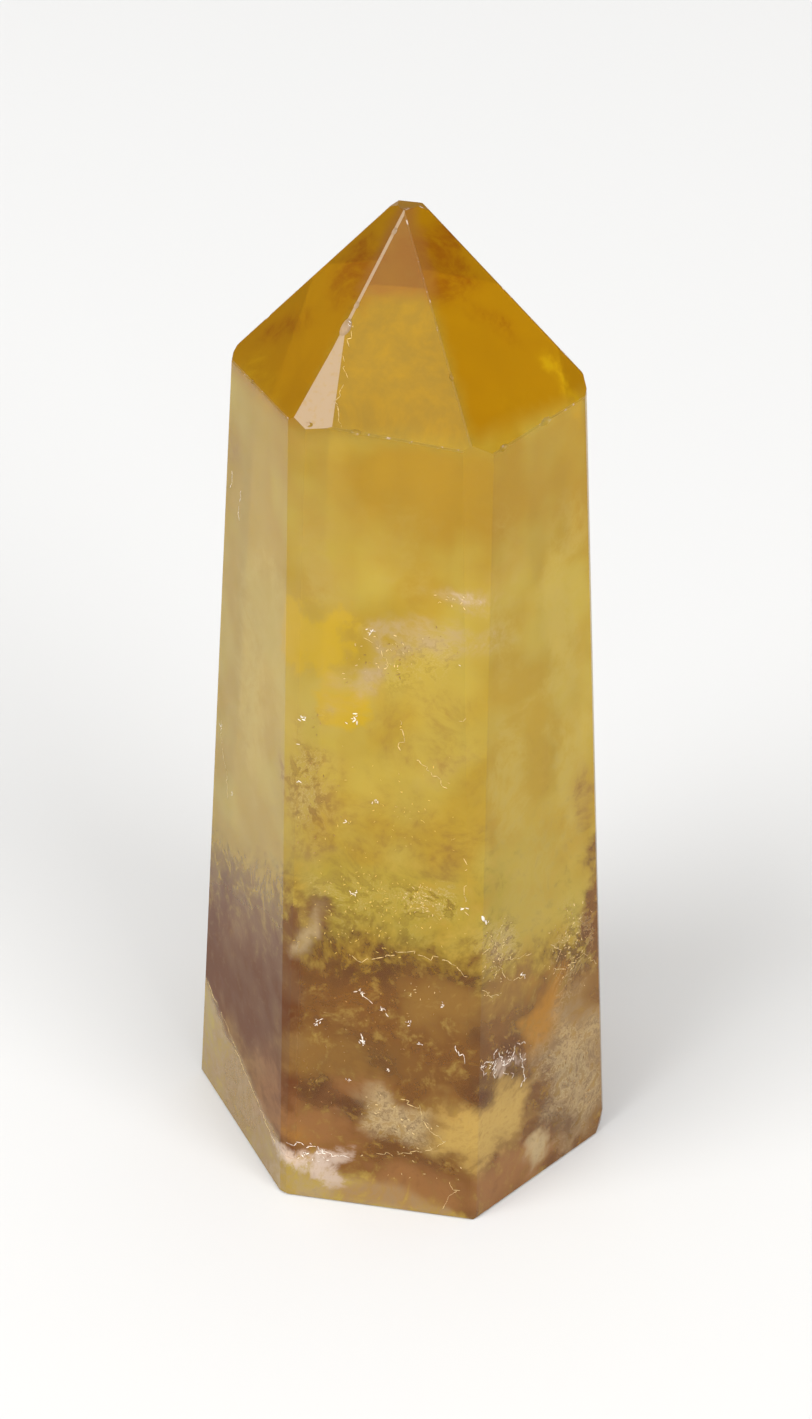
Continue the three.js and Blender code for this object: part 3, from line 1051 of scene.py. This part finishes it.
# %% Where the frosted fractures are
# side, across, height, depth, half width, half height, turn, lean, strength
PATCHES = [
    ("front", 6.8, 55.1, 0.6, 1.9, 0.7, -20, 20, 0.6),
    ("front", -3.9, 57, 1.2, 0.9, 2.8, 5, 10, 0.5),
    ("front", 1, 49.2, 0.9, 2.8, 1, 42, 25, 0.6),
    ("front", 5.2, 51, 1.5, 4, 1.4, 3, 15, 0.45),
    ("front", 5, 40.4, 0.6, 0.5, 2.2, 45, 30, 0.8),
    ("right", -5.8, 27.8, 0.4, 0.8, 0.6, 0, 20, 0.8),
    ("right", -4.7, 24.8, 0.8, 1.3, 2.6, 5, 20, 0.6),
    ("front", -4.8, 24.6, 0.6, 0.6, 1.8, -8, 20, 0.6),
    ("right", -3.4, 13.2, 0.4, 2.8, 0.9, -8, 30, 0.75),
    ("front", 2.3, 8.9, 0.5, 2.8, 1.7, 15, 15, 0.75),
    ("front", -4.3, 3.9, 0.3, 3, 0.9, 10, 20, 1.1),
    ("right", -0.5, 3, 0.4, 1, 1.3, 0, 20, 0.9),
    ("right", 5, 9.6, 0.7, 1.8, 2.2, 10, 20, 0.7),
    ("right", 3.4, 5, 0.6, 1.6, 1.4, 30, 20, 0.7),
    ("front", 7.6, 9.5, 1.8, 2, 2.6, 0, 10, 0.6),
    ("left", -4.2, 33, 0.4, 0.7, 5, -4, 20, 0.5),
    ("left", -4.9, 56.8, 0.3, 0.25, 1.9, -8, 20, 1.2),
    ("back", 3.4, 54, 0.6, 2.2, 0.8, -25, 20, 0.6),
    ("back", -3, 3.6, 0.4, 2.6, 0.9, -12, 20, 1),
    ("back_right", -2, 12, 0.6, 2, 2.4, 20, 20, 0.6),
    ("back_left", 2.6, 16, 0.4, 2.2, 0.8, 20, 25, 0.8),
]
print(len(PATCHES), "frosted fractures")

# %% [markdown]
# Each row of the table becomes one sheet. It could lie flat under the polish, but a
# fracture doesn't follow a cut face, so every sheet leans. In the material, noise is
# added to the painted strength. Where the sum is low the sheet is clear, and where it
# is high the sheet is frosted.

# %% Frosted fractures
PATCH_CELL = 0.3
PATCH_WAVE = 0.5
PATCH_WAVE_SIZE = 1.6
FROST_SIZE = 0.7 * MM


def make_patches():
    sheets = []
    for side, across, height, depth, half_width, half_height, turn, lean, strength in PATCHES:
        right, up, out = axes_of(side, turn=turn)
        centre = place(side, across, height, depth)
        normal = out * math.cos(math.radians(lean)) + up * math.sin(math.radians(lean))
        reach = 3 * max(half_width, half_height)
        sheet = add_sheet(centre, normal, reach, reach, PATCH_CELL, PATCH_WAVE, PATCH_WAVE_SIZE)
        trim_to_stone(sheet)
        values = []
        for corner in sheet.data.vertices:
            away = corner.co - centre
            r = math.hypot(away.dot(right) / half_width, away.dot(up) / half_height) / MM
            values.append(strength * max(0, min(1, 1.5 - r)))
        paint(sheet, "strength", values)
        sheets.append(sheet)
    return join(sheets, "frosted_patches")


def frost_material():
    material, tree, shader = new_material("frosted_fracture")
    frost = grain(tree, FROST_SIZE, 4)
    white = band(tree, maths(tree, "ADD", frost, field(tree, "strength")), 0.6, 1.0)
    ragged = maths(tree, "MULTIPLY_ADD", frost, 2.2, field(tree, "strength"))
    shown = maths(tree, "MULTIPLY", band(tree, ragged, 0.35, 0.95), 0.85)
    feed(shader, {"Base Color": mix(tree, white, MILK, ROSE_WHITE), "Alpha": shown, "Roughness": 0.35})
    return material


patches = make_patches()
patches.data.materials.append(frost_material())

# %% [markdown]
# The sparks in the stone are tiny fracture faces that happen to send the light our way.
# Here that glint is painted: a spark is a sliver of near-white colour, and a dark speck a
# sliver of dark colour. Specks could be made by a noise in the material, but they would
# be flat dots of one shape. One sliver is modelled here as a flattened ball, copied many
# times and laid into the skin, half sunk, where it breaks the polish and catches some
# light by itself.

# %% One sliver
# SPARK is a painted glint: a near-white colour for a facet that flashes light.
SPARK = (0.95, 0.85, 0.74)
PALE_GOLD = (0.72, 0.52, 0.22)
GOLD = (0.66, 0.44, 0.08)
DARK = (0.28, 0.14, 0.02)
FLATNESS = 0.25
EDGE_MARGIN = 0.1 * MM

select_none()
bpy.ops.mesh.primitive_ico_sphere_add(subdivisions=1, radius=0.5)
sliver = bpy.context.object
sliver.name = "sliver"


def is_on_face(point, out):
    """Whether a point of a flat is inside the stone's outline, and not past an edge of the flat."""
    return under_skin(point - out * EDGE_MARGIN) > 0.9 * EDGE_MARGIN


def add_sliver(centre, along, out, length, width, colour):
    """One sliver. The centre is in metres, length and width are in millimetres."""
    copy = new_object("speck", sliver.data.copy())
    across = out.cross(along).normalized()
    turn = Matrix((along.normalized(), across, out)).transposed().to_4x4()
    size = Matrix.Diagonal((length * MM, width * MM, width * FLATNESS * MM, 1))
    copy.data.transform(Matrix.Translation(centre) @ turn @ size)
    paint(copy, "tint", (*colour, 1) * len(copy.data.vertices), "FLOAT_COLOR", "color")
    return copy


print("a sliver has", len(sliver.data.polygons), "faces")

# %% [markdown]
# Sparks and specks come in swarms, dense in the middle and thin at the rim, as a bell
# curve scatters them. A spark is a tiny swarm of seven. The random numbers come from a
# generator with a fixed seed, so every run throws the same swarm.

# %% Where the sparks and specks are
# side, across, height, size
SPARKS = [
    ("front", 0.1, 51.6, 0.4), ("front", -1.2, 44.5, 0.5), ("front", -4.9, 43.8, 0.35),
    ("front", -5.7, 41.3, 0.5), ("front", -5.6, 38.5, 0.4), ("front", -1.7, 35.5, 0.2),
    ("front", 0.6, 37.5, 0.25), ("front", -0.9, 29.3, 0.3), ("front", 7.3, 49.6, 0.4),
    ("front", -6.3, 21.2, 0.35), ("front", -0.3, 20.3, 0.4), ("front", 1.5, 19, 0.55),
    ("front", -0.2, 15.9, 0.4), ("front", -3.8, 17.1, 0.4), ("front", 3.5, 18.1, 0.25),
    ("front", 4.4, 16.3, 0.2), ("front", 1.9, 13.4, 0.2), ("front", -1.2, 12, 0.2),
    ("front", 6.1, 20.1, 0.25), ("right", -1.3, 20.4, 0.35), ("front", 7.9, 29, 0.4),
    ("right", -5.9, 28, 0.6), ("left", -6.9, 35.7, 0.3), ("left", -4.3, 30.9, 0.3),
    ("front_top", -3.1, 73.3, 0.3), ("front_top", -0.4, 78.8, 0.25), ("back", 1.2, 44, 0.45),
    ("back", -3.6, 33, 0.35), ("back", 2.8, 20.4, 0.45), ("back", -1.6, 15.6, 0.4),
    ("back_right", -1, 26, 0.45), ("back_right", 2.6, 18, 0.35), ("back_left", 0.6, 24, 0.45),
    ("back_left", -3, 40, 0.35),
]

# side, across, height, half width, half height, turn, how many, length, colour
SPECKS = [
    ("front", 1, 28.6, 6.6, 3.2, -5, 120, 0.2, GOLD),
    ("front", 4.3, 29.2, 1.6, 1.4, 0, 60, 0.2, PALE_GOLD),
    ("front", -1, 25.2, 5.5, 1.6, 5, 50, 0.2, GOLD),
    ("front", 0.5, 17.5, 7.5, 6, 0, 60, 0.16, TAN),
    ("front", 4.4, 21.2, 1.4, 0.8, 0, 12, 0.2, PALE_GOLD),
    ("front", 3, 49.5, 5, 2.6, 10, 30, 0.2, DARK),
    ("front", 1, 49.5, 3, 1.6, 35, 30, 0.2, PALE_GOLD),
    ("front", 6.4, 54.8, 1.6, 0.8, 20, 20, 0.2, PALE_GOLD),
    ("front", -4.6, 38, 2.4, 6, 0, 40, 0.2, DARK),
    ("front", 2, 36, 6, 7, 0, 70, 0.18, GOLD),
    ("right", -4.6, 23.6, 1.8, 3.4, 0, 60, 0.24, PALE_GOLD),
    ("right", -4.6, 23.6, 1.8, 3.4, 0, 50, 0.24, DARK),
    ("right", 4.2, 20.4, 2.6, 3.4, 0, 60, 0.24, PALE_GOLD),
    ("right", 4.2, 20.4, 2.6, 3.4, 0, 60, 0.24, DARK),
    ("right", -4, 13.6, 2.8, 0.9, -8, 36, 0.26, SPARK),
    ("right", -4, 14.2, 2.8, 0.9, -8, 40, 0.26, DARK),
    ("right", 4.6, 8, 3.4, 5.4, 20, 70, 0.28, DARK),
    ("front", 2.8, 8.6, 3, 1.6, -20, 26, 0.22, PALE_GOLD),
    ("front", 4, 4, 4.8, 2.6, 0, 14, 0.22, PALE_GOLD),
    ("front", -4.3, 4.2, 3, 0.8, 10, 26, 0.26, SPARK),
    ("front", -4.5, 12, 3, 5, 0, 40, 0.2, DARK),
    ("back", 0, 28, 6.4, 3, 0, 100, 0.2, GOLD),
    ("back", 3.4, 54, 2, 0.9, -25, 20, 0.2, PALE_GOLD),
    ("back", 0, 17, 7, 5, 0, 50, 0.16, TAN),
    ("back_right", -1.5, 12, 3, 4, 20, 60, 0.26, DARK),
    ("back_left", -1, 11, 3.6, 3.6, 0, 50, 0.24, DARK),
    ("back_left", 2.6, 16, 2, 0.8, 20, 26, 0.26, SPARK),
]
print(len(SPARKS), "sparks and", len(SPECKS), "swarms of specks")

# %% [markdown]
# A swarm is strewn in the plane of its flat. Every sliver gets its place, turn, length
# and brightness by chance, and one that would hang over the edge of the flat is left
# out. Blender's particles could strew them too, but they have to be made real meshes
# before they can be joined, and a short loop is easier to read.

# %% Strew the sparks and specks
SLIVERS_IN_A_SPARK = 7
SPARK_SLIVER = 0.75
chance = random.Random(7)


def strewn(side, across, height, half_across, half_height, turn, count, length, colour):
    made = []
    for _ in range(count):
        a, b = chance.gauss(0, 0.5) * half_across, chance.gauss(0, 0.5) * half_height
        angle = math.radians(turn)
        x = across + a * math.cos(angle) - b * math.sin(angle)
        z = height + a * math.sin(angle) + b * math.cos(angle)
        centre = place(side, x, z)
        along, _, out = axes_of(side, turn=chance.uniform(0, 180))
        if not is_on_face(centre, out):
            continue
        long = length * chance.uniform(0.5, 1.5)
        shade = chance.uniform(0.6, 1.0)
        tint = [c * shade for c in colour]
        made.append(add_sliver(centre, along, out, long, long * chance.uniform(0.15, 0.4), tint))
    return made


specks = []
for side, across, height, size in SPARKS:
    specks += strewn(side, across, height, size, size, 0, SLIVERS_IN_A_SPARK, SPARK_SLIVER * size, SPARK)
for swarm in SPECKS:
    specks += strewn(*swarm)
print(len(specks), "slivers strewn")

# %% [markdown]
# A fine crack is a chain of the same slivers, laid end to end along a line of points on
# a flat. A curve with a bevel would give an even wire. Slivers that jitter, change
# their width and leave gaps look like a fracture that glints here and there.

# %% Where the fine cracks run
# side, width, colour, and the points that the crack runs through
CRACKS = [
    ("front", 0.07, PALE_GOLD, [(-0.9, 23.3), (0.3, 23.4), (2.4, 24.4), (4, 24.5), (5.7, 24.3),
        (7, 23.9), (8, 23)]),
    ("front", 0.06, PALE_GOLD, [(7.5, 33.3), (7.8, 32), (7.6, 30.3), (8, 29), (8, 27.3), (8.3, 26.4),
        (8.4, 25.3)]),
    ("right", 0.06, PALE_GOLD, [(-7, 25.5), (-5.9, 24.7), (-5.4, 24.8)]),
    ("right", 0.07, PALE_GOLD, [(-3.3, 22.9), (-2.1, 22.5), (-0.4, 22.1)]),
    ("right", 0.07, PALE_GOLD, [(-6.9, 21.5), (-6.1, 21.6), (-5.1, 20.3), (-4.2, 20.1)]),
    ("right", 0.06, PALE_GOLD, [(-3.6, 24.6), (-3.9, 22.6), (-3.2, 21.2), (-2.6, 20.5), (-1.2, 20.3)]),
    ("right", 0.06, PALE_GOLD, [(1.7, 21.8), (3, 20.6), (2.4, 19.4), (3.6, 18.4), (5.9, 18.9),
        (7.4, 17)]),
    ("right", 0.24, SPARK, [(-7.2, 28.5), (-6.6, 28.9), (-5.9, 28.4), (-5.5, 27.3)]),
    ("front", 0.08, SPARK, [(7.2, 16.6), (7.4, 16.1), (8.3, 15.1)]),
    ("right", 0.1, SPARK, [(-7.6, 15.7), (-6.9, 14.5), (-6.1, 14.6), (-5.2, 14.3), (-4.6, 15.1),
        (-3.9, 13.6), (-3.3, 13), (-2.3, 14.3), (-1.2, 13.9)]),
    ("right", 0.06, SPARK, [(-6.3, 14.4), (-6.2, 13.5)]),
    ("right", 0.07, SPARK, [(-4.6, 14.2), (-4.8, 13.4), (-5, 12.5)]),
    ("right", 0.06, SPARK, [(-3.9, 13.3), (-3.7, 12.2)]),
    ("right", 0.06, SPARK, [(-3.1, 12.9), (-2.8, 11.3)]),
    ("right", 0.08, SPARK, [(-2, 13.6), (-1.6, 11.8), (-1.3, 10.3), (-1.9, 9.9)]),
    ("front", 0.06, PALE_GOLD, [(3, 10.9), (4.5, 10.2), (5, 8.4), (6.7, 7.3)]),
    ("front", 0.06, PALE_GOLD, [(1.4, 5.3), (4.8, 6.1), (6.7, 7.2)]),
    ("front", 0.06, PALE_GOLD, [(6.5, 0.9), (7.7, 2.7), (7, 3.4)]),
    ("front", 0.07, SPARK, [(-7, 5), (-5.4, 5.2), (-3.8, 5.1), (-2.4, 4.5), (-1, 4.6)]),
    ("front", 0.06, SPARK, [(-0.3, 20.7), (-0.1, 19.9), (0.6, 19.7)]),
    ("front", 0.06, SPARK, [(-0.3, 16.6), (-0.1, 15.4)]),
    ("front", 0.07, PALE_GOLD, [(2.4, 44.7), (2.5, 43.6), (2.4, 42)]),
    ("front", 0.06, PALE_GOLD, [(6.6, 45.2), (7.7, 45.3), (8.6, 45.6)]),
    ("front", 0.05, PALE_GOLD, [(-0.4, 51), (0.9, 50.4), (1.4, 48.8)]),
    ("front", 0.06, PALE_GOLD, [(3.7, 41.6), (4.8, 40.6), (6.2, 39.1)]),
    ("left", 0.1, PALE_GOLD, [(-8.6, 9.9), (-5.4, 8.8), (-2.2, 7.4), (1, 6), (4, 4.8), (7.3, 3.6)]),
    ("left", 0.08, PALE_GOLD, [(-6.9, 36.4), (-6.6, 34), (-5.6, 32.4), (-5.2, 30)]),
    ("left", 0.07, SPARK, [(-4.1, 57.6), (-4.3, 56.5), (-4.5, 55.2)]),
    ("left", 0.07, SPARK, [(-5.8, 58.6), (-5.9, 57)]),
    ("back", 0.07, PALE_GOLD, [(-5.5, 23.6), (-2.8, 24.6), (0.4, 24), (3.4, 25.2), (5.8, 24.4)]),
    ("back", 0.06, PALE_GOLD, [(-4.6, 40), (-3.9, 36.4), (-4.3, 33), (-3.7, 30.2)]),
    ("back_left", 0.1, SPARK, [(1, 16.6), (2, 15.6), (2.9, 16.4), (3.8, 15.2), (4.8, 15.8)]),
    ("back_right", 0.07, PALE_GOLD, [(-4.4, 21.8), (-2.2, 22.8), (0.4, 22), (2.6, 23.2)]),
    ("back_right", 0.06, PALE_GOLD, [(-3.4, 15.4), (-1.6, 13), (-2.2, 10.2), (-0.6, 8.4)]),
    ("front_top", 0.05, PALE_GOLD, [(-2.7, 73), (-3.2, 71.4), (-3, 70), (-3.4, 68.6), (-3, 67.4),
        (-2.2, 66.9)]),
]
print(len(CRACKS), "fine cracks")

# %% [markdown]
# The line between two points of a crack is cut into short steps. The ends of each step
# are shaken a little and a sliver is laid between them, a bit longer than the step, so
# that the chain looks closed. Now and then one is left out.

# %% Lay the fine cracks
CRACK_STEP = 0.3
CRACK_JITTER = 0.12
CRACK_GAPS = 0.12
OVERLAP = 1.2


def cracked_along(side, width, colour, points):
    made = []
    right, up, out = axes_of(side)
    for start, end in zip(points, points[1:]):
        a, b = place(side, *start), place(side, *end)
        steps = max(1, round((b - a).length / (CRACK_STEP * MM)))
        spots = []
        for i in range(steps + 1):
            shake = right * chance.gauss(0, CRACK_JITTER) + up * chance.gauss(0, CRACK_JITTER)
            spots.append(a.lerp(b, i / steps) + shake * MM)
        for p, q in zip(spots, spots[1:]):
            middle = (p + q) / 2
            if not is_on_face(middle, out) or chance.random() < CRACK_GAPS:
                continue
            shade = chance.uniform(0.55, 1.0)
            tint = [c * shade for c in colour]
            long = (q - p).length / MM * OVERLAP
            made.append(add_sliver(middle, q - p, out, long, width * chance.uniform(0.5, 1.3), tint))
    return made


for crack in CRACKS:
    specks += cracked_along(*crack)
bpy.data.objects.remove(sliver)
print(len(specks), "slivers in all")

# %% [markdown]
# All slivers become one piece with one material, and each keeps its own colour in an
# attribute. They glow a little. A real facet this small can flash brighter than white
# paper, but a render would miss most such flashes or leave them as noise.

# %% Join the slivers
GLOW = 0.1


def glint_material():
    material, tree, shader = new_material("glinting_fracture")
    tint = field(tree, "tint", "Color")
    feed(shader, {"Base Color": tint, "Emission Color": tint, "Emission Strength": GLOW, "Roughness": 0.3})
    material.cycles.emission_sampling = "NONE"
    return material


glints = join(specks, "glinting_specks")
glints.data.materials.append(glint_material())
